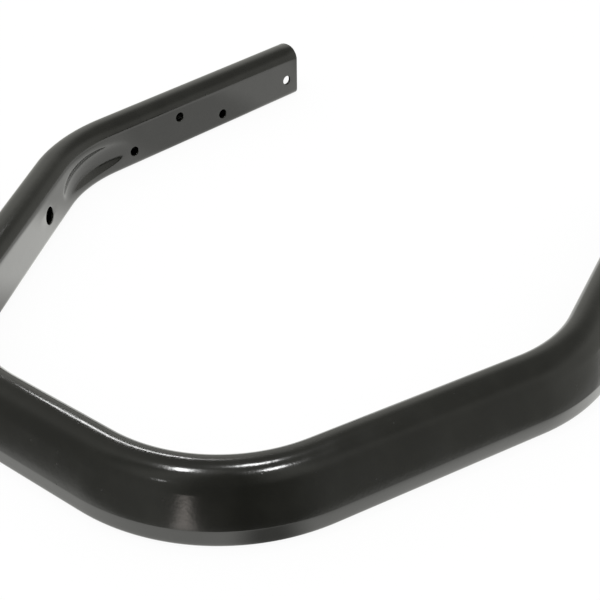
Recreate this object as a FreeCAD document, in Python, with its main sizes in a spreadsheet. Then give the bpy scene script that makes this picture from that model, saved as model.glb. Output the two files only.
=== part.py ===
import FreeCAD
import Part
import Sketcher
import math
import os

# Front bumper of a snowmobile: one hollow tube, flat on the inside of the
# hoop, slanted on the outside and open at both cut ends.  The front bar runs along X,
# the arms reach back along +Y, and the hoop lies flat with its underside at Z 0.

doc = FreeCAD.newDocument("bumper")
vec = FreeCAD.Vector

# Driving sizes in millimetres and degrees.  Lengths along the hoop are taken on
# the flat inner face, from the point where two straight runs would meet.
SIZES = [
    ("tube_height", 50.8),
    ("tube_depth", 41.0),
    ("crown_radius", 20.0),
    ("crown_at", 13.6),
    ("lip_height", 16.0),
    ("wall", 2.0),
    ("brow_radius", 2.5),
    ("edge_radius", 2.0),
    ("foot_radius", 5.0),
    ("heel_radius", 3.0),
    ("bend_radius", 115.0),
    ("front_length", 241.0),
    ("side_length", 277.0),
    ("arm_length", 266.0),
    ("corner_turn", 65.6),
    ("rear_turn", 34.4),
    ("dent_depth", 5.0),
    ("dent_height", 27.0),
    ("dent_ring", 88.0),
    ("dent_rise", 22.25),
    ("bolt_hole", 9.0),
    ("side_hole", 15.5),
    ("drill_length", 16.0),
    ("end_hole_at", 14.5),
    ("low_hole_at", 101.0),
    ("high_hole_at", 154.0),
    ("bend_hole_at", 209.5),
    ("side_hole_at", 84.0),
    ("end_hole_rise", 20.25),
    ("low_hole_rise", 14.25),
    ("high_hole_rise", 30.75),
    ("bend_hole_rise", 15.75),
    ("side_hole_rise", 23.25),
]

# Values that follow from the driving sizes.
FOLLOWS = [
    ("crown_rise", "=tube_height - crown_radius"),
    ("edge_out", "=tube_depth - crown_at"),
    ("edge_down", "=crown_rise - lip_height"),
    ("edge_far", "=sqrt(edge_out * edge_out + edge_down * edge_down)"),
    ("slant", "=acos(crown_radius / edge_far) - atan(edge_down / edge_out)"),
    ("arm_angle", "=corner_turn + rear_turn"),
    ("reach", "=side_length * sin(corner_turn) + arm_length * sin(arm_angle)"),
    ("front_line", "=(tube_depth * (1 + cos(arm_angle)) - reach) / 2"),
    ("corner_tangent", "=bend_radius * tan(corner_turn / 2)"),
    ("rear_tangent", "=bend_radius * tan(rear_turn / 2)"),
    ("rear_x", "=front_length / 2 + side_length * cos(corner_turn)"),
    ("rear_y", "=front_line + side_length * sin(corner_turn)"),
    ("end_x", "=rear_x + arm_length * cos(arm_angle)"),
    ("end_y", "=rear_y + arm_length * sin(arm_angle)"),
    ("dent_tube", "=(dent_height * dent_height / 4 + dent_depth * dent_depth) / (2 * dent_depth)"),
    ("dent_aim", "=corner_turn + rear_turn / 2"),
    ("apex_gap", "=bend_radius / cos(rear_turn / 2) - bend_radius"),
    ("dent_back", "=apex_gap + dent_ring - dent_depth"),
    ("dent_x", "=rear_x - dent_back * sin(dent_aim)"),
    ("dent_y", "=rear_y + dent_back * cos(dent_aim)"),
]

sheet = doc.addObject("Spreadsheet::Sheet", "dims")
row = 1
for name, value in SIZES:
    sheet.set("A%d" % row, name)
    sheet.set("B%d" % row, str(value))
    sheet.setAlias("B%d" % row, name)
    row += 1
for name, formula in FOLLOWS:
    sheet.set("A%d" % row, name)
    sheet.set("B%d" % row, formula)
    sheet.setAlias("B%d" % row, name)
    row += 1
doc.recompute()


def val(name):
    return float(getattr(sheet, name))


def origin_plane(body, role):
    for feature in body.Origin.OriginFeatures:
        if feature.Role == role:
            return feature
    raise RuntimeError("no plane " + role)


def plane_sketch(body, role, name):
    sketch = body.newObject("Sketcher::SketchObject", name)
    sketch.AttachmentSupport = [(origin_plane(body, role), "")]
    sketch.MapMode = "FlatFace"
    return sketch


def drive(sketch, constraint, name, expression):
    index = sketch.addConstraint(constraint)
    sketch.renameConstraint(index, name)
    sketch.setExpression("Constraints." + name, expression)


def arc(center, radius, start, end):
    circle = Part.Circle(center, vec(0, 0, 1), radius)
    return Part.ArcOfCircle(circle, start, end)


def turned(base, angle, length):
    way = FreeCAD.Rotation(vec(0, 0, 1), angle).multVec(vec(1, 0, 0))
    return base + way * length


# The path: half the hoop on the flat inner face, from the middle of the front
# bar round the front corner and the rear bend to the cut end of the arm.
def draw_path(body):
    sketch = plane_sketch(body, "XY_Plane", body.Name + "_path")
    pi = math.pi
    radius = val("bend_radius")
    line_y = val("front_line")
    turn_a = val("corner_turn")
    turn_b = val("arm_angle")
    front = val("front_length") / 2 - val("corner_tangent")
    side = val("side_length") - val("corner_tangent") - val("rear_tangent")
    arm = val("arm_length") - val("rear_tangent")
    a = vec(0, line_y, 0)
    b = vec(front, line_y, 0)
    hub_one = b + vec(0, radius, 0)
    c = turned(hub_one, turn_a - 90, radius)
    d = turned(c, turn_a, side)
    hub_two = turned(d, turn_a + 90, radius)
    e = turned(hub_two, turn_b - 90, radius)
    f = turned(e, turn_b, arm)
    half = pi / 2
    turn = turn_a * pi / 180
    last = turn_b * pi / 180
    sketch.addGeometry(Part.LineSegment(a, b))
    sketch.addGeometry(arc(hub_one, radius, -half, turn - half))
    sketch.addGeometry(Part.LineSegment(c, d))
    sketch.addGeometry(arc(hub_two, radius, turn - half, last - half))
    sketch.addGeometry(Part.LineSegment(e, f))
    sketch.addConstraint(Sketcher.Constraint("PointOnObject", 0, 1, -2))
    sketch.addConstraint(Sketcher.Constraint("Horizontal", 0))
    sketch.addConstraint(Sketcher.Constraint("Tangent", 0, 2, 1, 1))
    sketch.addConstraint(Sketcher.Constraint("Tangent", 1, 2, 2, 1))
    sketch.addConstraint(Sketcher.Constraint("Tangent", 2, 2, 3, 1))
    sketch.addConstraint(Sketcher.Constraint("Tangent", 3, 2, 4, 1))
    sketch.addConstraint(Sketcher.Constraint("Equal", 1, 3))
    drive(sketch, Sketcher.Constraint("DistanceY", -1, 1, 0, 1, line_y), "line_y", "dims.front_line")
    drive(sketch, Sketcher.Constraint("Radius", 1, radius), "bend", "dims.bend_radius")
    drive(sketch, Sketcher.Constraint("Distance", 0, front), "front",
          "dims.front_length / 2 - dims.corner_tangent")
    drive(sketch, Sketcher.Constraint("Distance", 2, side), "side",
          "dims.side_length - dims.corner_tangent - dims.rear_tangent")
    drive(sketch, Sketcher.Constraint("Distance", 4, arm), "arm", "dims.arm_length - dims.rear_tangent")
    drive(sketch, Sketcher.Constraint("Angle", 2, turn), "turn_a", "dims.corner_turn * 1 deg")
    drive(sketch, Sketcher.Constraint("Angle", 4, last), "turn_b", "dims.arm_angle * 1 deg")
    return sketch


# The section: a flat inner face, a round crown, an outer face that slants down and
# out to a crisp edge, and an upright lip below that edge.
def draw_skin(body):
    sketch = plane_sketch(body, "YZ_Plane", body.Name + "_section")
    pi = math.pi
    face = val("front_line")
    out = face - val("tube_depth")
    crown = val("crown_radius")
    brow = val("brow_radius")
    crisp = val("edge_radius")
    foot = val("foot_radius")
    heel = val("heel_radius")
    slant = math.radians(val("slant"))
    hub = vec(face - val("crown_at"), val("crown_rise"), 0)
    tilt = math.acos((val("crown_at") - brow) / (crown - brow))
    brow_hub = hub + vec(math.cos(tilt), math.sin(tilt), 0) * (crown - brow)
    reach = crisp * math.tan(slant / 2)
    edge_low = val("lip_height") - reach
    edge_apex = vec(out, val("lip_height"), 0)
    slant_top = hub + vec(-math.cos(slant), math.sin(slant), 0) * crown
    slant_low = edge_apex + vec(math.sin(slant), math.cos(slant), 0) * reach
    sketch.addGeometry(Part.LineSegment(vec(face, heel, 0), vec(face, brow_hub.y, 0)))
    sketch.addGeometry(arc(brow_hub, brow, 0, tilt))
    sketch.addGeometry(arc(hub, crown, tilt, pi - slant))
    sketch.addGeometry(Part.LineSegment(slant_top, slant_low))
    sketch.addGeometry(arc(vec(out + crisp, edge_low, 0), crisp, pi - slant, pi))
    sketch.addGeometry(Part.LineSegment(vec(out, edge_low, 0), vec(out, foot, 0)))
    sketch.addGeometry(arc(vec(out + foot, foot, 0), foot, pi, 3 * pi / 2))
    sketch.addGeometry(Part.LineSegment(vec(out + foot, 0, 0), vec(face - heel, 0, 0)))
    sketch.addGeometry(arc(vec(face - heel, heel, 0), heel, 3 * pi / 2, 2 * pi))
    sketch.addGeometry(Part.Point(edge_apex), True)
    sides = 9
    for first in range(sides):
        second = (first + 1) % sides
        sketch.addConstraint(Sketcher.Constraint("Tangent", first, 2, second, 1))
    sketch.addConstraint(Sketcher.Constraint("Vertical", 0))
    sketch.addConstraint(Sketcher.Constraint("Vertical", 5))
    sketch.addConstraint(Sketcher.Constraint("Horizontal", 7))
    sketch.addConstraint(Sketcher.Constraint("PointOnObject", 7, 1, -1))
    sketch.addConstraint(Sketcher.Constraint("PointOnObject", 9, 1, 3))
    sketch.addConstraint(Sketcher.Constraint("PointOnObject", 9, 1, 5))
    drive(sketch, Sketcher.Constraint("DistanceX", -1, 1, 0, 1, face), "face", "dims.front_line")
    drive(sketch, Sketcher.Constraint("DistanceX", -1, 1, 5, 1, out), "out",
          "dims.front_line - dims.tube_depth")
    drive(sketch, Sketcher.Constraint("DistanceY", -1, 1, 9, 1, edge_apex.y), "edge", "dims.lip_height")
    drive(sketch, Sketcher.Constraint("DistanceX", -1, 1, 2, 3, hub.x), "crown_x",
          "dims.front_line - dims.crown_at")
    drive(sketch, Sketcher.Constraint("DistanceY", -1, 1, 2, 3, hub.y), "crown_y", "dims.crown_rise")
    drive(sketch, Sketcher.Constraint("Radius", 1, brow), "brow", "dims.brow_radius")
    drive(sketch, Sketcher.Constraint("Radius", 2, crown), "crown", "dims.crown_radius")
    drive(sketch, Sketcher.Constraint("Radius", 4, crisp), "crisp", "dims.edge_radius")
    drive(sketch, Sketcher.Constraint("Radius", 6, foot), "foot", "dims.foot_radius")
    drive(sketch, Sketcher.Constraint("Radius", 8, heel), "heel", "dims.heel_radius")
    return sketch


# The hollow: the same section one wall further in.  Its tight lower corners are cut
# straight across, which leaves the wall a little thicker there.
def draw_hollow(body):
    sketch = plane_sketch(body, "YZ_Plane", body.Name + "_section")
    wall = val("wall")
    face = val("front_line") - wall
    out = val("front_line") - val("tube_depth") + wall
    crown = val("crown_radius") - wall
    foot = val("foot_radius") - wall
    heel = val("heel_radius") - wall
    slant = math.radians(val("slant"))
    edge = val("lip_height") - wall * math.tan(slant / 2)
    hub = vec(val("front_line") - val("crown_at"), val("crown_rise"), 0)
    tilt = math.acos((face - hub.x) / crown)
    brow = hub + vec(math.cos(tilt), math.sin(tilt), 0) * crown
    slant_top = hub + vec(-math.cos(slant), math.sin(slant), 0) * crown
    sketch.addGeometry(Part.LineSegment(vec(face, wall + heel, 0), brow))
    sketch.addGeometry(arc(hub, crown, tilt, math.pi - slant))
    sketch.addGeometry(Part.LineSegment(slant_top, vec(out, edge, 0)))
    sketch.addGeometry(Part.LineSegment(vec(out, edge, 0), vec(out, wall + foot, 0)))
    sketch.addGeometry(Part.LineSegment(vec(out, wall + foot, 0), vec(out + foot, wall, 0)))
    sketch.addGeometry(Part.LineSegment(vec(out + foot, wall, 0), vec(face - heel, wall, 0)))
    sketch.addGeometry(Part.LineSegment(vec(face - heel, wall, 0), vec(face, wall + heel, 0)))
    joins = ["Coincident", "Tangent", "Coincident", "Coincident", "Coincident", "Coincident", "Coincident"]
    for first, join in enumerate(joins):
        second = (first + 1) % len(joins)
        sketch.addConstraint(Sketcher.Constraint(join, first, 2, second, 1))
    sketch.addConstraint(Sketcher.Constraint("Vertical", 0))
    sketch.addConstraint(Sketcher.Constraint("Vertical", 3))
    sketch.addConstraint(Sketcher.Constraint("Horizontal", 5))
    drive(sketch, Sketcher.Constraint("DistanceX", -1, 1, 0, 1, face), "face",
          "dims.front_line - dims.wall")
    drive(sketch, Sketcher.Constraint("DistanceX", -1, 1, 3, 1, out), "out",
          "dims.front_line - dims.tube_depth + dims.wall")
    drive(sketch, Sketcher.Constraint("DistanceY", -1, 1, 3, 1, edge), "edge",
          "dims.lip_height - dims.wall * tan(dims.slant / 2)")
    drive(sketch, Sketcher.Constraint("DistanceY", -1, 1, 5, 1, wall), "low", "dims.wall")
    drive(sketch, Sketcher.Constraint("DistanceX", -1, 1, 1, 3, hub.x), "crown_x",
          "dims.front_line - dims.crown_at")
    drive(sketch, Sketcher.Constraint("DistanceY", -1, 1, 1, 3, hub.y), "crown_y", "dims.crown_rise")
    drive(sketch, Sketcher.Constraint("Radius", 1, crown), "crown", "dims.crown_radius - dims.wall")
    foot_cut = "dims.foot_radius - dims.wall"
    heel_cut = "dims.heel_radius - dims.wall"
    drive(sketch, Sketcher.Constraint("DistanceX", 4, 1, 4, 2, foot), "foot_cut_x", foot_cut)
    drive(sketch, Sketcher.Constraint("DistanceY", 4, 2, 4, 1, foot), "foot_cut_y", foot_cut)
    drive(sketch, Sketcher.Constraint("DistanceX", 6, 1, 6, 2, heel), "heel_cut_x", heel_cut)
    drive(sketch, Sketcher.Constraint("DistanceY", 6, 1, 6, 2, heel), "heel_cut_y", heel_cut)
    return sketch


def swept_half(name, draw):
    body = doc.addObject("PartDesign::Body", name)
    path = draw_path(body)
    section = draw(body)
    doc.recompute()
    for sketch in (path, section):
        if not sketch.FullyConstrained:
            raise RuntimeError(sketch.Name + " is not fully constrained")
    pipe = body.newObject("PartDesign::AdditivePipe", name + "_sweep")
    pipe.Profile = section
    pipe.Spine = (path, ["Edge1", "Edge2", "Edge3", "Edge4", "Edge5"])
    doc.recompute()
    return body


outer = swept_half("outer_half", draw_skin)
inner = swept_half("inner_half", draw_hollow)


def cut(name, base, tool):
    result = doc.addObject("Part::Cut", name)
    result.Base = base
    result.Tool = tool
    return result


# The dent: the flat face sinks at the rear bend into a shallow trough, cut by
# the rim of a ring whose centre stands inside the hoop.
def dent_ring(name, growth):
    ring = doc.addObject("Part::Torus", name)
    ring.setExpression("Radius1", "dims.dent_ring - dims.dent_tube")
    ring.setExpression("Radius2", "dims.dent_tube" + growth)
    ring.setExpression("Placement.Base.x", "dims.dent_x")
    ring.setExpression("Placement.Base.y", "dims.dent_y")
    ring.setExpression("Placement.Base.z", "dims.dent_rise")
    return ring


dent = dent_ring("dent", "")
dent_backing = dent_ring("dent_backing", " + dims.wall")
skin = cut("skin", outer, dent)
bore = cut("bore", inner, dent_backing)
half_shell = cut("half_shell", skin, bore)


# A round hole through the inner wall only, square to the run it stands on.
# The run is named by its far point and its angle; the hole lies back from it.
def wall_hole(name, end, angle, back, rise, size):
    drill = doc.addObject("Part::Cylinder", name)
    drill.setExpression("Radius", "dims." + size + " / 2")
    drill.setExpression("Height", "dims.drill_length")
    spot = "dims.%s_%s - %s * %s(%s) - dims.drill_length / 2 * %s"
    x = spot % (end, "x", back, "cos", angle, "sin(" + angle + ")")
    y = spot % (end, "y", back, "sin", angle, "-cos(" + angle + ")")
    z = "dims." + rise
    turn = "rotation(" + angle + " - 90; 90; 0)"
    drill.setExpression("Placement", "placement(vector(%s; %s; %s); %s)" % (x, y, z, turn))
    return drill


ARM = "dims.arm_angle"
SIDE = "dims.corner_turn"
drills = [
    wall_hole("end_hole", "end", ARM, "dims.end_hole_at", "end_hole_rise", "bolt_hole"),
    wall_hole("low_hole", "end", ARM, "dims.low_hole_at", "low_hole_rise", "bolt_hole"),
    wall_hole("high_hole", "end", ARM, "dims.high_hole_at", "high_hole_rise", "bolt_hole"),
    wall_hole("bend_hole", "end", ARM, "dims.bend_hole_at", "bend_hole_rise", "bolt_hole"),
    wall_hole("side_hole", "rear", SIDE, "dims.side_hole_at", "side_hole_rise", "side_hole"),
]
drill_set = doc.addObject("Part::MultiFuse", "drill_set")
drill_set.Shapes = drills
drilled = cut("drilled_half", half_shell, drill_set)

# The other half is the mirror image, and the two are one tube.
mirrored = doc.addObject("Part::Mirroring", "mirrored_half")
mirrored.Source = drilled
mirrored.Normal = vec(1, 0, 0)
mirrored.Base = vec(0, 0, 0)
tube = doc.addObject("Part::MultiFuse", "tube")
tube.Shapes = [drilled, mirrored]
tube.Refine = True
tube.Label = "bumper_tube"
doc.recompute()

for item in doc.Objects:
    if "Invalid" in item.State or "Error" in item.State:
        raise RuntimeError(item.Name + " failed")
shape = tube.Shape
if shape.isNull() or not shape.isValid() or len(shape.Solids) != 1:
    raise RuntimeError("the tube is not one sound solid")

os.makedirs("parts", exist_ok=True)
shape.exportStep("parts/" + tube.Label + ".step")
print(tube.Label, round(shape.Volume), "mm3", len(shape.Faces), "faces")
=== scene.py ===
# %% [markdown]
# A snowmobile's front bumper is one bent tube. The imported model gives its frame:
# the box it fills, the plane it lies on and the faces that carry the bolt holes.
# This lesson loads that frame, models a finer tube over it and paints it.

# %% Load the frame
import math

import bpy
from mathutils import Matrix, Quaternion, Vector


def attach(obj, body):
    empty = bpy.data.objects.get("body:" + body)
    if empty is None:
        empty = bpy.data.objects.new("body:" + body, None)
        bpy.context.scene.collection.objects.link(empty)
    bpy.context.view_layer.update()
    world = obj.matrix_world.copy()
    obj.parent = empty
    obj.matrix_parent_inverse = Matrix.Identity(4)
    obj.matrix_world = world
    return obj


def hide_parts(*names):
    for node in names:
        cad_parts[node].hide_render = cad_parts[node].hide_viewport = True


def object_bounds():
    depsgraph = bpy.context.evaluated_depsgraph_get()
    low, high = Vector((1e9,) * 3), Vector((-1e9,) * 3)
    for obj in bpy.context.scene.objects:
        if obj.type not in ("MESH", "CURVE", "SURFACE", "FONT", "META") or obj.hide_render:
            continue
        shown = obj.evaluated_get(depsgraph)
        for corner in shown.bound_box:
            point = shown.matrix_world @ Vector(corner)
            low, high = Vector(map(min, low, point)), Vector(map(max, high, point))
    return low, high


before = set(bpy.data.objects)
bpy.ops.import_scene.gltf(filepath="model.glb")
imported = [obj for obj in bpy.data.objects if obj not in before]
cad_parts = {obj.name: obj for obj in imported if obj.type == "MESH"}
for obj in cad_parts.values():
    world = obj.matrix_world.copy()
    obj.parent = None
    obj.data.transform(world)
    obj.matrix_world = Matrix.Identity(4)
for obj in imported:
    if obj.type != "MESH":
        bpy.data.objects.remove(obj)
cad_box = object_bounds()
print("frame box", [tuple(round(c, 4) for c in corner) for corner in cad_box])

# %% [markdown]
# The camera comes first, because every later choice is judged through it. The
# photo looks down on the hoop from the front right. Its place and lens were
# worked out from the converging edges of the tube, so the hoop runs out of the
# picture on the left and on the right, as it does there.

# %% Place the camera
CAMERA_PLACE = Vector((0.4886, -0.6296, 0.5861))
CAMERA_TURN = math.radians(-36.81)
CAMERA_DOWN = math.radians(37.15)
CAMERA_ROLL = math.radians(-0.51)
CAMERA_LENS = 72.33

camera_data = bpy.data.cameras.new("photo_camera")
camera_data.lens = CAMERA_LENS
camera = bpy.data.objects.new("photo_camera", camera_data)
bpy.context.collection.objects.link(camera)
looking = Vector((
    math.sin(CAMERA_TURN) * math.cos(CAMERA_DOWN),
    math.cos(CAMERA_TURN) * math.cos(CAMERA_DOWN),
    -math.sin(CAMERA_DOWN),
))
camera.location = CAMERA_PLACE
camera.rotation_mode = "QUATERNION"
camera.rotation_quaternion = looking.to_track_quat("-Z", "Y") @ Quaternion((0, 0, 1), CAMERA_ROLL)
bpy.context.scene.camera = camera
print("camera looks along", tuple(round(c, 3) for c in looking))

# %% [markdown]
# The tube's sizes, in metres. Lengths along the hoop are measured on the flat
# inner face, from the point where two straight runs would meet, so each run is
# shortened by the tangent length of the bends beside it. The brow and the heel,
# the corners above and below the flat face, are rounder than in the frame's
# solid, because the edges in the photo ask for it.

# %% Sizes of the tube
MM = 0.001
CLOSE = 0.01 * MM
TUBE_HEIGHT = 50.8 * MM
TUBE_DEPTH = 41.0 * MM
CROWN_RADIUS = 20.0 * MM
CROWN_AT = 13.6 * MM
LIP_HEIGHT = 16.0 * MM
WALL = 2.0 * MM
BROW_RADIUS = 11.8 * MM
EDGE_RADIUS = 2.0 * MM
FOOT_RADIUS = 5.0 * MM
HEEL_RADIUS = 6.0 * MM
BEND_RADIUS = 115.0 * MM
FRONT_LENGTH = 241.0 * MM
SIDE_LENGTH = 277.0 * MM
ARM_LENGTH = 266.0 * MM
CORNER_TURN = math.radians(65.6)
REAR_TURN = math.radians(34.4)

CORNER_TANGENT = BEND_RADIUS * math.tan(CORNER_TURN / 2)
REAR_TANGENT = BEND_RADIUS * math.tan(REAR_TURN / 2)
FRONT_LINE = cad_box[0][1] + TUBE_DEPTH
OUTER_LINE = FRONT_LINE - TUBE_DEPTH
print("flat face of the front bar at", round(FRONT_LINE, 5), "lip at", round(OUTER_LINE, 5))

# %% [markdown]
# Modelling works in edit mode, where an operator acts on all that is selected.
# The frame is still selected after loading, so everything is deselected before
# each new piece, and a helper selects the points, edges or faces that are meant.

# %% Helpers for edit mode


def clear_selection():
    if bpy.context.object and bpy.context.object.mode == "EDIT":
        bpy.ops.object.mode_set(mode="OBJECT")
    bpy.ops.object.select_all(action="DESELECT")


def pick(piece, kind, wanted):
    """Selects the points, edges or faces whose place passes the test, and counts them."""
    bpy.ops.object.mode_set(mode="EDIT")
    bpy.ops.mesh.select_mode(type=kind)
    bpy.ops.mesh.select_all(action="DESELECT")
    bpy.ops.object.mode_set(mode="OBJECT")
    mesh = piece.data
    found = 0
    if kind == "VERT":
        for vertex in mesh.vertices:
            vertex.select = bool(wanted(vertex.co))
            found += vertex.select
    elif kind == "EDGE":
        for edge in mesh.edges:
            ends = [mesh.vertices[i].co for i in edge.vertices]
            edge.select = all(wanted(end) for end in ends)
            found += edge.select
    else:
        for face in mesh.polygons:
            face.select = bool(wanted(face.center))
            found += face.select
    bpy.ops.object.mode_set(mode="EDIT")
    return found


def near(a, b, slack=1e-5):
    return abs(a - b) < slack


# %% [markdown]
# The section starts as the circle of the tube's round crown, stood upright in the
# middle of the front bar. Two bisecting planes through its centre leave only the
# arc between the slanted outer face and the brow. The slant is not chosen: it is
# the tangent from the crown to the edge of the lip.

# %% Cut the crown's arc out of a circle
CROWN_POINTS = 144
hub_y = FRONT_LINE - CROWN_AT
hub_z = TUBE_HEIGHT - CROWN_RADIUS
edge_far = math.hypot(hub_y - OUTER_LINE, hub_z - LIP_HEIGHT)
SLANT = math.acos(CROWN_RADIUS / edge_far) - math.atan2(hub_z - LIP_HEIGHT, hub_y - OUTER_LINE)
BROW_TURN = math.acos((CROWN_AT - BROW_RADIUS) / (CROWN_RADIUS - BROW_RADIUS))
crown_hub = Vector((0, hub_y, hub_z))
clear_selection()
bpy.ops.mesh.primitive_circle_add(
    vertices=CROWN_POINTS, radius=CROWN_RADIUS, location=crown_hub, rotation=(0, math.pi / 2, 0))
tube = bpy.context.object
tube.name = "bumper_skin"
bpy.ops.object.transform_apply(location=True, rotation=True, scale=True)
DOWN_SLANT = Vector((0, -math.sin(SLANT), -math.cos(SLANT)))
DOWN_BROW = Vector((0, math.sin(BROW_TURN), -math.cos(BROW_TURN)))
bpy.ops.object.mode_set(mode="EDIT")
for dropped in (DOWN_SLANT, DOWN_BROW):
    bpy.ops.mesh.select_all(action="SELECT")
    bpy.ops.mesh.bisect(
        plane_co=crown_hub, plane_no=dropped, clear_outer=True, threshold=CLOSE / 10)
bpy.ops.object.mode_set(mode="OBJECT")
print("crown arc of", len(tube.data.vertices), "points, slant", round(math.degrees(SLANT), 2))

# %% [markdown]
# From the brow the outline is drawn on by extruding one point from corner to
# corner: down the flat face, along the underside, up the lip and up the slant to
# the crown again, where the last point merges with the first of the arc. A vertex
# bevel rounds each corner. Its offset runs along the edges, so it is the radius
# times the tangent of half the corner's turn.

# %% Draw the rest of the outline and round its corners
brow_start = crown_hub + CROWN_RADIUS * Vector((0, math.cos(BROW_TURN), math.sin(BROW_TURN)))
brow_corner = brow_start + DOWN_BROW * (BROW_RADIUS * math.tan(BROW_TURN / 2))
crown_end = crown_hub + CROWN_RADIUS * Vector((0, -math.cos(SLANT), math.sin(SLANT)))
heel_corner = Vector((0, FRONT_LINE, 0))
foot_corner = Vector((0, OUTER_LINE, 0))
edge_corner = Vector((0, OUTER_LINE, LIP_HEIGHT))
pick(tube, "VERT", lambda p: (p - brow_start).length < CLOSE)
drawn_to = brow_start
for corner in (brow_corner, heel_corner, foot_corner, edge_corner, crown_end):
    bpy.ops.mesh.extrude_region_move(TRANSFORM_OT_translate={"value": corner - drawn_to})
    drawn_to = corner
bpy.ops.mesh.select_all(action="SELECT")
bpy.ops.mesh.remove_doubles(threshold=CLOSE)
bpy.ops.mesh.edge_face_add()
ROUNDED = [
    (brow_corner, BROW_RADIUS, BROW_TURN, 18),
    (heel_corner, HEEL_RADIUS, math.pi / 2, 8),
    (foot_corner, FOOT_RADIUS, math.pi / 2, 6),
    (edge_corner, EDGE_RADIUS, SLANT, 4),
]
for corner, radius, turn, steps in ROUNDED:
    hits = pick(tube, "VERT", lambda p: (p - corner).length < CLOSE)
    bpy.ops.mesh.bevel(affect="VERTICES", offset=radius * math.tan(turn / 2), segments=steps)
    print("rounded", hits, "corner at height", round(corner.z, 4), "radius", radius)
bpy.ops.mesh.select_all(action="SELECT")
bpy.ops.mesh.remove_doubles(threshold=CLOSE)
bpy.ops.object.mode_set(mode="OBJECT")
print("outline of", len(tube.data.vertices), "points,", len(tube.data.polygons), "face")

# %% [markdown]
# The dent at the rear bend needs points across the flat face, and the slanted
# face needs a few to stay smooth round the corners, so the straight sides of the
# section are subdivided before it is swept. The face in the middle then goes,
# and the outline alone is drawn along the hoop.

# %% Divide the straight sides and open the section
FLAT_CUTS = 23
SIDE_CUTS = 3
pick(tube, "EDGE", lambda p: near(p.y, FRONT_LINE))
bpy.ops.mesh.subdivide(number_cuts=FLAT_CUTS)
bpy.ops.object.mode_set(mode="OBJECT")
long_sides = [
    edge.index for edge in tube.data.edges
    if (tube.data.vertices[edge.vertices[0]].co - tube.data.vertices[edge.vertices[1]].co).length > 5 * MM
]
bpy.ops.object.mode_set(mode="EDIT")
bpy.ops.mesh.select_mode(type="EDGE")
bpy.ops.mesh.select_all(action="DESELECT")
bpy.ops.object.mode_set(mode="OBJECT")
for index in long_sides:
    tube.data.edges[index].select = True
bpy.ops.object.mode_set(mode="EDIT")
bpy.ops.mesh.subdivide(number_cuts=SIDE_CUTS)
bpy.ops.mesh.select_all(action="SELECT")
bpy.ops.mesh.delete(type="ONLY_FACE")
bpy.ops.object.mode_set(mode="OBJECT")
print("outline points", len(tube.data.vertices))

# %% [markdown]
# Sweeping by hand is a chain of extrusions and spins. A straight run is the
# outline extruded along the run, a bend is the outline spun about an upright
# axis at the hub of the bend, which lies one bend radius inside the flat face.

# %% Sweep half the hoop
bpy.ops.object.mode_set(mode="EDIT")
bpy.ops.mesh.select_mode(type="EDGE")
bpy.ops.mesh.select_all(action="SELECT")
UP = Vector((0, 0, 1))
heading = 0.0
place = Vector((0, FRONT_LINE, 0))


def run_straight(length, steps):
    """Extrudes the selected outline along the present heading."""
    global place
    way = Vector((math.cos(heading), math.sin(heading), 0))
    for _ in range(steps):
        bpy.ops.mesh.extrude_region_move(
            TRANSFORM_OT_translate={"value": way * (length / steps)})
    place = place + way * length


def run_bend(turn, steps):
    """Spins the selected outline about the hub of the bend."""
    global place, heading
    hub = place + Vector((-math.sin(heading), math.cos(heading), 0)) * BEND_RADIUS
    bpy.ops.mesh.spin(steps=steps, angle=-turn, center=hub, axis=UP)
    heading += turn
    place = hub + Vector((math.sin(heading), -math.cos(heading), 0)) * BEND_RADIUS


FADE = 26.0 * MM
FRONT_STEPS = 2
CORNER_STEPS = 48
SIDE_STEPS = 10
FADE_STEPS = 14
REAR_STEPS = 40
ARM_STEPS = 16
run_straight(FRONT_LENGTH / 2 - CORNER_TANGENT, FRONT_STEPS)
run_bend(CORNER_TURN, CORNER_STEPS)
run_straight(SIDE_LENGTH - CORNER_TANGENT - REAR_TANGENT - FADE, SIDE_STEPS)
run_straight(FADE, FADE_STEPS)
run_bend(REAR_TURN, REAR_STEPS)
run_straight(FADE, FADE_STEPS)
run_straight(ARM_LENGTH - REAR_TANGENT - FADE, ARM_STEPS)
bpy.ops.object.mode_set(mode="OBJECT")
END_PLACE = place.copy()
END_WAY = Vector((math.cos(heading), math.sin(heading), 0))
END_OUT = Vector((math.sin(heading), -math.cos(heading), 0))
print("arm end at", tuple(round(c, 4) for c in END_PLACE), "points", len(tube.data.vertices))

# %% [markdown]
# The bumper is the same on both sides of its middle, so the other half is a
# Mirror modifier, applied at once. The spins and the mirror leave doubled points
# and may turn faces inside out. Both are put right here, before the wall gets its
# thickness, because afterwards the inner skin would be turned round as well.

# %% Mirror the half and point its faces outwards
mirror = tube.modifiers.new("other_half", "MIRROR")
mirror.use_axis = (True, False, False)
bpy.ops.object.modifier_apply(modifier=mirror.name)
bpy.ops.object.mode_set(mode="EDIT")
bpy.ops.mesh.select_all(action="SELECT")
bpy.ops.mesh.remove_doubles(threshold=CLOSE)
bpy.ops.mesh.normals_make_consistent(inside=False)
bpy.ops.object.mode_set(mode="OBJECT")


def front_normal():
    lip = min(tube.data.polygons, key=lambda face: face.center.y)
    return lip.normal.y


if front_normal() > 0:
    bpy.ops.object.mode_set(mode="EDIT")
    bpy.ops.mesh.select_all(action="SELECT")
    bpy.ops.mesh.flip_normals()
    bpy.ops.object.mode_set(mode="OBJECT")
print("whole hoop:", len(tube.data.polygons), "faces, lip normal", round(front_normal(), 3))

# %% [markdown]
# Where a tube with one flat side is bent, the flat sinks in. On the bumper this
# is a shallow trough in each rear bend. It could be sculpted, but a ring pressed
# into the bend gives it true and even: a Shrinkwrap moves only the points inside
# the ring out to its surface, and a little smoothing rolls the rim over.

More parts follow.
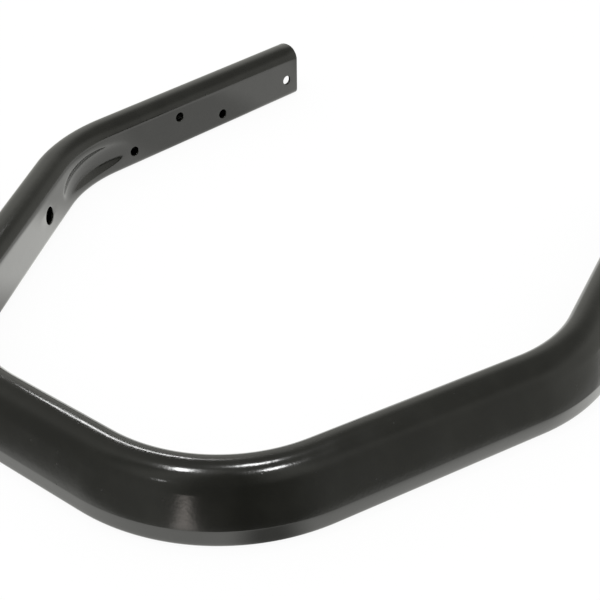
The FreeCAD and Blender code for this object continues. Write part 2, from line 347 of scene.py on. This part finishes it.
# %% Press the trough into each rear bend
DENT_DEPTH = 5.0 * MM
DENT_HEIGHT = 27.0 * MM
DENT_RING = 88.0 * MM
DENT_RISE = 22.25 * MM
DENT_TUBE = (DENT_HEIGHT ** 2 / 4 + DENT_DEPTH ** 2) / (2 * DENT_DEPTH)
REAR_CORNER = Vector((
    FRONT_LENGTH / 2 + SIDE_LENGTH * math.cos(CORNER_TURN),
    FRONT_LINE + SIDE_LENGTH * math.sin(CORNER_TURN),
    0,
))
DENT_AIM = CORNER_TURN + REAR_TURN / 2
DENT_BACK = BEND_RADIUS / math.cos(REAR_TURN / 2) - BEND_RADIUS + DENT_RING - DENT_DEPTH
dent_hub = REAR_CORNER + Vector((-math.sin(DENT_AIM), math.cos(DENT_AIM), 0)) * DENT_BACK
dent_hub.z = DENT_RISE
RING_AROUND = 240
RING_ACROSS = 96
SMOOTH_REACH = DENT_RING + 12 * MM
SMOOTH_MARGIN = 1 * MM
SMOOTH_ROUNDS = 5


def press_ring(side):
    """Presses a ring into the flat face of one rear bend and smooths the rim of the trough."""
    hub = Vector((side * dent_hub.x, dent_hub.y, dent_hub.z))
    clear_selection()
    bpy.ops.mesh.primitive_torus_add(
        location=hub, major_radius=DENT_RING - DENT_TUBE, minor_radius=DENT_TUBE,
        major_segments=RING_AROUND, minor_segments=RING_ACROSS)
    ring = bpy.context.object
    clear_selection()
    tube.select_set(True)
    bpy.context.view_layer.objects.active = tube
    press = tube.modifiers.new("press", "SHRINKWRAP")
    press.target = ring
    press.wrap_method = "NEAREST_SURFACEPOINT"
    press.wrap_mode = "OUTSIDE"
    bpy.ops.object.modifier_apply(modifier=press.name)
    count = pick(tube, "VERT", lambda p: (
        (p - hub).to_2d().length < SMOOTH_REACH
        and HEEL_RADIUS + SMOOTH_MARGIN < p.z < brow_corner.z - SMOOTH_MARGIN))
    bpy.ops.mesh.vertices_smooth(factor=0.5, repeat=SMOOTH_ROUNDS)
    bpy.ops.object.mode_set(mode="OBJECT")
    bpy.data.objects.remove(ring)
    return count


for side in (1, -1):
    print("trough on side", side, "smoothed over", press_ring(side), "points")

# %% [markdown]
# So far the tube is a skin. The real one is 2 mm sheet, which shows at the sawn
# ends and in the holes. Solidify grows the wall inwards, so the outside keeps its
# size, and closes the ends with a rim.

# %% Give the wall its thickness
wall = tube.modifiers.new("wall", "SOLIDIFY")
wall.thickness = WALL
wall.offset = -1
wall.use_even_offset = True
bpy.ops.object.modifier_apply(modifier=wall.name)
print("walled tube:", len(tube.data.polygons), "faces")

# %% [markdown]
# Sawn ends are dressed with a file before painting, and paint rounds them further.
# The edges of each end ring all lie in the plane of the cut, so they can be found
# by their distance from it, and a small bevel breaks them.

# %% Break the edges of the sawn ends
END_BREAK = 0.5 * MM
for side in (1, -1):
    end_place = Vector((side * END_PLACE.x, END_PLACE.y, 0))
    end_way = Vector((side * END_WAY.x, END_WAY.y, 0))
    count = pick(tube, "FACE", lambda p: abs((p - end_place).dot(end_way)) < CLOSE)
    bpy.ops.mesh.region_to_loop()
    bpy.ops.mesh.bevel(offset=END_BREAK, segments=3, affect="EDGES")
    bpy.ops.object.mode_set(mode="OBJECT")
    print("end ring of", count, "faces broken")

# %% [markdown]
# The holes go through the inner wall only. Each is drilled with one cutter: a
# cylinder whose mouth flares out where it meets the face, so the cut leaves the
# soft rim that a thick coat of powder gives, with no second operation. The
# cutters are turned to face their run, set on it and joined, and one Boolean
# takes them all out.

# %% Model one cutter for a size of hole
RIM = 0.7 * MM
FLARE_STEPS = 4
DRILL_LENGTH = 16.0 * MM


def make_cutter(radius):
    """A drill along +Z whose flared mouth lies at Z 0."""
    clear_selection()
    depth = DRILL_LENGTH / 2
    bpy.ops.mesh.primitive_cylinder_add(
        vertices=48, radius=radius, depth=depth - RIM, location=(0, 0, -RIM - (depth - RIM) / 2))
    cutter = bpy.context.object
    bpy.ops.object.transform_apply(location=True, rotation=True, scale=True)
    pick(cutter, "FACE", lambda p: near(p.z, -RIM))
    size = radius
    height = -RIM
    for step in range(1, FLARE_STEPS + 1):
        angle = step / FLARE_STEPS * math.pi / 2
        wide = radius + RIM * (1 - math.cos(angle))
        high = RIM * math.sin(angle) - RIM
        bpy.ops.mesh.extrude_region_move(TRANSFORM_OT_translate={"value": (0, 0, high - height)})
        bpy.ops.transform.resize(value=(wide / size, wide / size, 1), center_override=(0, 0, high))
        size = wide
        height = high
    bpy.ops.mesh.extrude_region_move(TRANSFORM_OT_translate={"value": (0, 0, depth)})
    bpy.ops.object.mode_set(mode="OBJECT")
    return cutter


# %% Set the cutters on the arms and the side runs
BOLT_HOLE = 9.0 * MM
SIDE_HOLE = 15.5 * MM
SIDE_WAY = Vector((math.cos(CORNER_TURN), math.sin(CORNER_TURN), 0))
SIDE_OUT = Vector((math.sin(CORNER_TURN), -math.cos(CORNER_TURN), 0))
HOLES = [
    ("arm", 14.5 * MM, 20.25 * MM, BOLT_HOLE),
    ("arm", 101.0 * MM, 14.25 * MM, BOLT_HOLE),
    ("arm", 154.0 * MM, 30.75 * MM, BOLT_HOLE),
    ("arm", 209.5 * MM, 15.75 * MM, BOLT_HOLE),
    ("side run", 84.0 * MM, 23.25 * MM, SIDE_HOLE),
]
cutters = []
for run, back, rise, size in HOLES:
    start, way, out = (END_PLACE, END_WAY, END_OUT) if run == "arm" else (REAR_CORNER, SIDE_WAY, SIDE_OUT)
    spot = start - way * back
    for side in (1, -1):
        cutter = make_cutter(size / 2)
        cutter.rotation_euler = Vector((-side * out.x, -out.y, 0)).to_track_quat("Z", "Y").to_euler()
        cutter.location = (side * spot.x, spot.y, rise)
        bpy.ops.object.transform_apply(location=True, rotation=True, scale=True)
        cutters.append(cutter)
print("cutters set:", len(cutters))

# %% [markdown]
# An exact cut leaves a few points almost on top of each other where a rim crosses
# the lines of the mesh. They are merged afterwards, so that no face is left
# without area, and only edges sharper than the smoothing angle stay crisp.

# %% Drill the holes
RIM_MERGE = 0.002 * MM
CRISP_ANGLE = math.radians(35)
clear_selection()
for cutter in cutters:
    cutter.select_set(True)
bpy.context.view_layer.objects.active = cutters[0]
bpy.ops.object.join()
drill_set = bpy.context.object
clear_selection()
tube.select_set(True)
bpy.context.view_layer.objects.active = tube
drilling = tube.modifiers.new("holes", "BOOLEAN")
drilling.operation = "DIFFERENCE"
drilling.solver = "EXACT"
drilling.object = drill_set
bpy.ops.object.modifier_apply(modifier=drilling.name)
bpy.data.objects.remove(drill_set)
bpy.ops.object.mode_set(mode="EDIT")
bpy.ops.mesh.select_all(action="SELECT")
bpy.ops.mesh.remove_doubles(threshold=RIM_MERGE)
bpy.ops.object.mode_set(mode="OBJECT")
bpy.ops.object.shade_smooth_by_angle(angle=CRISP_ANGLE)
tube.data.calc_loop_triangles()
print("drilled tube:", len(tube.data.loop_triangles), "triangles")

# %% [markdown]
# Shader maths reads best as plain expressions. The class below wraps one output
# socket of a material. Adding or multiplying two of them lays down a Math node,
# and its make method lays down any other kind of node.

# %% A socket that can be calculated with


class Sig:
    """One output socket of a node tree, with Python's operators laid down as Math nodes."""

    def __init__(self, tree, socket):
        self.tree = tree
        self.socket = socket

    @staticmethod
    def plug(tree, target, value):
        if isinstance(value, Sig):
            tree.links.new(value.socket, target)
        else:
            target.default_value = value

    @classmethod
    def make(cls, tree, kind, settings=None, sockets=None, output=0):
        """Lays down a node, sets its settings first and then its sockets, and returns one output."""
        node = tree.nodes.new(kind)
        for name, value in (settings or {}).items():
            if name == "stops":
                cls.set_stops(node.color_ramp, value)
            else:
                setattr(node, name, value)
        for name, value in (sockets or {}).items():
            cls.plug(tree, node.inputs[name], value)
        return cls(tree, node.outputs[output])

    @staticmethod
    def set_stops(ramp, stops):
        """Fills a ramp with grey levels, given as pairs of place and level."""
        ramp.interpolation = "EASE"
        while len(ramp.elements) < len(stops):
            ramp.elements.new(1.0)
        for element, (place, level) in zip(ramp.elements, stops):
            element.position = place
            element.color = (level, level, level, 1)

    def math(self, operation, first, second=0.0):
        return Sig.make(self.tree, "ShaderNodeMath", {"operation": operation}, {0: first, 1: second})

    def __add__(self, other):
        return self.math("ADD", self, other)

    __radd__ = __add__

    def __sub__(self, other):
        return self.math("SUBTRACT", self, other)

    def __rsub__(self, other):
        return self.math("SUBTRACT", other, self)

    def __mul__(self, other):
        return self.math("MULTIPLY", self, other)

    __rmul__ = __mul__

    def fade(self, low, high):
        """0 below low, 1 above high and a smooth step between."""
        return Sig.make(self.tree, "ShaderNodeMapRange", {"interpolation_type": "SMOOTHSTEP"},
                        {"Value": self, "From Min": low, "From Max": high})


# %% [markdown]
# The finish is gloss black powder coat. Powder melts and flows as it bakes, which
# leaves a faint ripple called orange peel, about 2 mm from crest to crest, and a
# few nibs of dust under the skin. All of it is bump and roughness on a nearly
# black base with a slight olive cast, so the gloss does the talking.

# %% Mix the powder coat
PEEL_SCALE = 520.0
SWELL_SCALE = 95.0
NIB_SCALE = 160.0
NIB_CHOICE_SCALE = 61.0
HANDLING_SCALE = 24.0
TINT_SCALE = 40.0
GLOSS_ROUGHNESS = 0.13
RELIEF_STRENGTH = 0.09
RELIEF_DEPTH = 0.6 * MM
COAT_IOR = 1.8


def powder_coat():
    material = bpy.data.materials.new("powder_coat")
    material.use_nodes = True
    tree = material.node_tree
    shader = tree.nodes["Principled BSDF"]
    place = Sig.make(tree, "ShaderNodeTexCoord", output="Object")

    def noise(scale, detail=2.0, rough=0.5):
        return Sig.make(tree, "ShaderNodeTexNoise", {}, {
            "Vector": place, "Scale": scale, "Detail": detail, "Roughness": rough})

    peel = noise(PEEL_SCALE, 1.5)
    swell = noise(SWELL_SCALE, 1.0)
    nib_spacing = Sig.make(tree, "ShaderNodeTexVoronoi", {"feature": "F1"}, {
        "Vector": place, "Scale": NIB_SCALE, "Randomness": 1.0}, output="Distance")
    nib_choice = noise(NIB_CHOICE_SCALE, 0.0).fade(0.60, 0.66)
    nibs = (1 - nib_spacing.fade(0.05, 0.14)) * nib_choice
    relief = peel * 0.55 + swell * 0.9 + nibs * 0.5
    bump = Sig.make(tree, "ShaderNodeBump", {}, {
        "Strength": RELIEF_STRENGTH, "Distance": RELIEF_DEPTH, "Height": relief})
    handling = noise(HANDLING_SCALE, 4.0, 0.6)
    roughness = GLOSS_ROUGHNESS + handling.fade(0.42, 0.72) * 0.07 + nibs * 0.2
    tint = Sig.make(tree, "ShaderNodeMix", {"data_type": "RGBA"}, {
        "Factor": noise(TINT_SCALE, 5.0, 0.65).fade(0.35, 0.7),
        "A": (0.0062, 0.0063, 0.0047, 1),
        "B": (0.0094, 0.0095, 0.0074, 1)}, output=2)
    Sig.plug(tree, shader.inputs["Base Color"], tint)
    Sig.plug(tree, shader.inputs["Roughness"], roughness)
    Sig.plug(tree, shader.inputs["Normal"], bump)
    shader.inputs["IOR"].default_value = COAT_IOR
    return material


coat = powder_coat()
tube.data.materials.clear()
tube.data.materials.append(coat)
print("coat has", len(coat.node_tree.nodes), "nodes")

# %% [markdown]
# The photo was taken on a plain white sheet that has burnt out to pure white. The
# floor gives off that white to the camera and to reflections, and keeps a part
# that only answers to the lamps, so that the tube still leaves a faint shadow.
# The sheet is not much larger than the hoop: past its edge a reflection looks
# out into the room, and there the floor lets it through. Only one narrow bar of
# light lies on it further out, a mottled painted glow that draws the upright
# streak on the nose. Three soft patches are painted light and shade: they make
# the sheet brighter or darker in reflections beside the tube. Along one side run
# a painted glow dims away from the lip, which shades the lip upwards.

# %% Lay the floor
SHEET_EDGE = 0.32
SHEET_FADE = 0.07
BAR_START = Vector((0.120, -0.257, 0.0))
BAR_TURN = math.radians(-72.5)
BAR_WAY = (math.cos(BAR_TURN), math.sin(BAR_TURN), 0)
BAR_ACROSS = (-math.sin(BAR_TURN), math.cos(BAR_TURN), 0)
BAR_GLOW = 2.4
BAR_MOTTLE = 75.0
BAR_SIDES = (0.006, 0.034)
BAR_BEGIN = (0.06, 0.16)
BAR_END = (0.5, 0.7)
# Painted light and shade on the sheet, seen only in reflections: a painted pool of light beside the side
# run, painted shade beside the arm and a painted shadow before the nose. A positive change brightens, a
# negative one darkens.
PAINTED_LIGHT_PATCHES = [
    ((-0.170, -0.078, 0.0), 0.03, 0.09, 0.95),  # beside the side run
    ((-0.178, 0.150, 0.0), 0.05, 0.09, -0.27),  # beside the arm
    ((0.171, -0.232, 0.0), 0.006, 0.036, -0.70),  # before the nose
]
RUN_LIP = REAR_CORNER.dot(SIDE_OUT) + TUBE_DEPTH
RUN_NEAR = 0.45
RUN_FALL = 0.80
RUN_FADE = (0.001, 0.020)
RUN_START = (0.17, 0.23)
SHEET_WHITE = (0.95, 0.95, 0.95, 1)
SHEET_GLOW = 0.93
FLOOR_SIZE = 12.0
FLOOR_DROP = 0.05 * MM


def white_sheet():
    material = bpy.data.materials.new("white_sheet")
    material.use_nodes = True
    material.cycles.emission_sampling = "NONE"
    tree = material.node_tree
    tree.nodes.remove(tree.nodes["Principled BSDF"])
    path = tree.nodes.new("ShaderNodeLightPath")
    camera_ray = Sig(tree, path.outputs["Is Camera Ray"])
    glossy_ray = Sig(tree, path.outputs["Is Glossy Ray"])
    place = Sig.make(tree, "ShaderNodeTexCoord", output="Object")

    def vector(operation, first, second=(0, 0, 0), output=0):
        return Sig.make(
            tree, "ShaderNodeVectorMath", {"operation": operation}, {0: first, 1: second}, output)

    from_bar = vector("SUBTRACT", place, BAR_START)
    aside = vector("DOT_PRODUCT", from_bar, BAR_ACROSS, "Value")
    onward = vector("DOT_PRODUCT", from_bar, BAR_WAY, "Value")
    bar = 1 - aside.math("ABSOLUTE", aside).fade(*BAR_SIDES)
    bar = bar * onward.fade(*BAR_BEGIN) * (1 - onward.fade(*BAR_END))
    beyond = vector("LENGTH", place, output="Value").fade(SHEET_EDGE, SHEET_EDGE + SHEET_FADE)
    matt = Sig.make(tree, "ShaderNodeBsdfDiffuse", {}, {"Color": SHEET_WHITE})
    mottle = Sig.make(tree, "ShaderNodeTexNoise", {}, {
        "Vector": place, "Scale": BAR_MOTTLE, "Detail": 1.0}).fade(0.38, 0.64)
    # The bar is painted light: a mottled glow on the sheet that only reflections see.
    glow = bar * (0.3 + mottle * 0.7) * BAR_GLOW
    # Each patch adds painted light or painted shade to the sheet's glow.
    for middle, inner, outer, change in PAINTED_LIGHT_PATCHES:
        off = vector("LENGTH", vector("SUBTRACT", place, middle), output="Value")
        glow = glow + (1 - off.fade(inner, outer)) * change
    # Painted glow along one side run: bright at the lip and dimming away from it, so the lip's reflection
    # is shaded upwards.
    off_lip = vector("DOT_PRODUCT", place, SIDE_OUT, "Value") - RUN_LIP
    by_run = vector("DOT_PRODUCT", place, (1, 0, 0), "Value").fade(*RUN_START)
    glow = glow + by_run * (RUN_NEAR - off_lip.fade(*RUN_FADE) * RUN_FALL)
    warmth = Sig.make(tree, "ShaderNodeMix", {"data_type": "RGBA"}, {
        "Factor": bar, "A": (1.0, 1.0, 0.965, 1), "B": (1.0, 0.92, 0.86, 1)}, output=2)
    tint = Sig.make(tree, "ShaderNodeMix", {"data_type": "RGBA"}, {
        "Factor": glossy_ray, "A": (1, 1, 1, 1), "B": warmth}, output=2)
    white = Sig.make(tree, "ShaderNodeEmission", {}, {
        "Color": tint, "Strength": 1 + glossy_ray * glow})
    clear = Sig.make(tree, "ShaderNodeBsdfTransparent")
    sheet = Sig.make(tree, "ShaderNodeMixShader", {}, {
        "Fac": camera_ray * SHEET_GLOW + glossy_ray, 1: matt, 2: white})
    whole = Sig.make(tree, "ShaderNodeMixShader", {}, {
        "Fac": glossy_ray * beyond * (1 - bar), 1: sheet, 2: clear})
    Sig.plug(tree, tree.nodes["Material Output"].inputs["Surface"], whole)
    return material


clear_selection()
bpy.ops.mesh.primitive_plane_add(size=FLOOR_SIZE, location=(0, 0, -FLOOR_DROP))
floor = bpy.context.object
floor.name = "white_floor"
bpy.ops.object.transform_apply(location=True, rotation=True, scale=True)
floor.data.materials.append(white_sheet())
print("white floor, bright to", SHEET_EDGE, "m in reflections")

# %% [markdown]
# Gloss black shows its surroundings more than itself, so the room matters. Seen
# from the tube, the room is dark around the camera, grey to both sides and
# lighter low down behind. Two rings of grey give it, one for the walls and one
# for the ceiling, each running once round from behind the hoop past the camera.
# The world gives white to the camera, this room to reflections and an even light
# to everything else.

# %% Build the room
CAMERA_SIDE = math.atan2(CAMERA_PLACE.y, CAMERA_PLACE.x)
WALL_RING = [
    (-180, 0.62), (-110, 0.25), (-75, 0.19), (-35, 0.26), (-14, 0.11),
    (8, 0.055), (25, 0.085), (50, 0.23), (75, 0.38), (110, 0.48), (145, 0.36), (180, 0.62),
]
CEILING_RING = [
    (-180, 0.20), (-110, 0.32), (-80, 0.19), (-45, 0.38), (-14, 0.12),
    (10, 0.07), (28, 0.28), (45, 0.40), (70, 0.20), (180, 0.20),
]
OVERHEAD = (0.4, 0.76)
EVEN_LIGHT = 0.95


def studio_world():
    world = bpy.data.worlds.new("studio")
    world.use_nodes = True
    world.cycles.sampling_method = "NONE"
    tree = world.node_tree
    path = tree.nodes.new("ShaderNodeLightPath")
    camera_ray = Sig(tree, path.outputs["Is Camera Ray"])
    glossy_ray = Sig(tree, path.outputs["Is Glossy Ray"])
    way = Sig.make(tree, "ShaderNodeTexCoord", output="Generated")

    def along(axis):
        return Sig.make(tree, "ShaderNodeVectorMath", {"operation": "DOT_PRODUCT"},
                        {0: way, 1: axis}, output="Value")

    ahead = along((math.cos(CAMERA_SIDE), math.sin(CAMERA_SIDE), 0))
    across = along((-math.sin(CAMERA_SIDE), math.cos(CAMERA_SIDE), 0))
    around = across.math("ARCTAN2", across, ahead) * (0.5 / math.pi) + 0.5

    def ring(levels):
        stops = [(turn / 360 + 0.5, level) for turn, level in levels]
        return Sig.make(tree, "ShaderNodeValToRGB", {"stops": stops}, {"Fac": around})

    overhead = along((0, 0, 1)).fade(*OVERHEAD)
    room = ring(WALL_RING) * (1 - overhead) + ring(CEILING_RING) * overhead
    level = camera_ray + glossy_ray * room + (1 - camera_ray - glossy_ray) * EVEN_LIGHT
    warmth = Sig.make(tree, "ShaderNodeMix", {"data_type": "RGBA"}, {
        "Factor": glossy_ray, "A": (1, 1, 1, 1), "B": (1.0, 1.0, 0.93, 1)}, output=2)
    Sig.plug(tree, tree.nodes["Background"].inputs["Strength"], level)
    Sig.plug(tree, tree.nodes["Background"].inputs["Color"], warmth)
    return world


bpy.context.scene.world = studio_world()
bpy.context.scene.view_settings.view_transform = "Standard"
print("room of", len(bpy.context.scene.world.node_tree.nodes), "nodes")

# %% [markdown]
# The highlights in the photo are the lamps themselves. Each one is set where the
# mirror rule puts it: from a spot on the tube, a turn away from the camera's side
# and a height above the horizon. Its power follows from its size and from how
# bright its face should look.

# %% Hang the lamps
NOSE = Vector((0.125, -0.235, 0.050))
FRONT_BAR = Vector((0.040, -0.252, 0.051))
LAMPS = [
    ("ceiling_left", NOSE, -100, 77, 1.6, (0.30, 0.13), 15.0, 180),
    ("ceiling_back", NOSE, 172, 70, 1.6, (0.15, 0.20), 14.0, 180),
    ("ceiling_right", NOSE, 62, 76, 1.6, (0.20, 0.17), 15.0, 180),
    ("front_small", NOSE, -38, 37, 1.5, (0.06, 0.09), 5.0, 180),
    ("window_gap", FRONT_BAR, -173, 36, 1.0, (0.20, 0.07), 11.0, 26),
]


def beam_gain(spread):
    """How much brighter a lamp's face looks from straight ahead when its beam is narrowed."""
    half = math.radians(spread) / 2
    return 1.0 if spread == 180 else math.tan(half) / (math.tan(half) - half)


for name, spot, turn, rise, distance, size, face, spread in LAMPS:
    angle = CAMERA_SIDE + math.radians(turn)
    rise = math.radians(rise)
    way = Vector((math.cos(angle) * math.cos(rise), math.sin(angle) * math.cos(rise), math.sin(rise)))
    lamp_data = bpy.data.lights.new(name, "AREA")
    lamp_data.shape = "RECTANGLE"
    lamp_data.size, lamp_data.size_y = size
    lamp_data.spread = math.radians(spread)
    lamp_data.energy = 4 * size[0] * size[1] * face / beam_gain(spread)
    lamp = bpy.data.objects.new(name, lamp_data)
    bpy.context.collection.objects.link(lamp)
    lamp.location = spot + way * distance
    lamp.rotation_euler = way.to_track_quat("Z", "Y").to_euler()
    lamp.visible_camera = False
    print(name, "at", tuple(round(c, 2) for c in lamp.location), "power", round(lamp_data.energy, 2))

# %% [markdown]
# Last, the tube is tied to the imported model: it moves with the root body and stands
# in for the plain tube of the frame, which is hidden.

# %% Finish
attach(tube, "root")
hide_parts("bumper_tube")
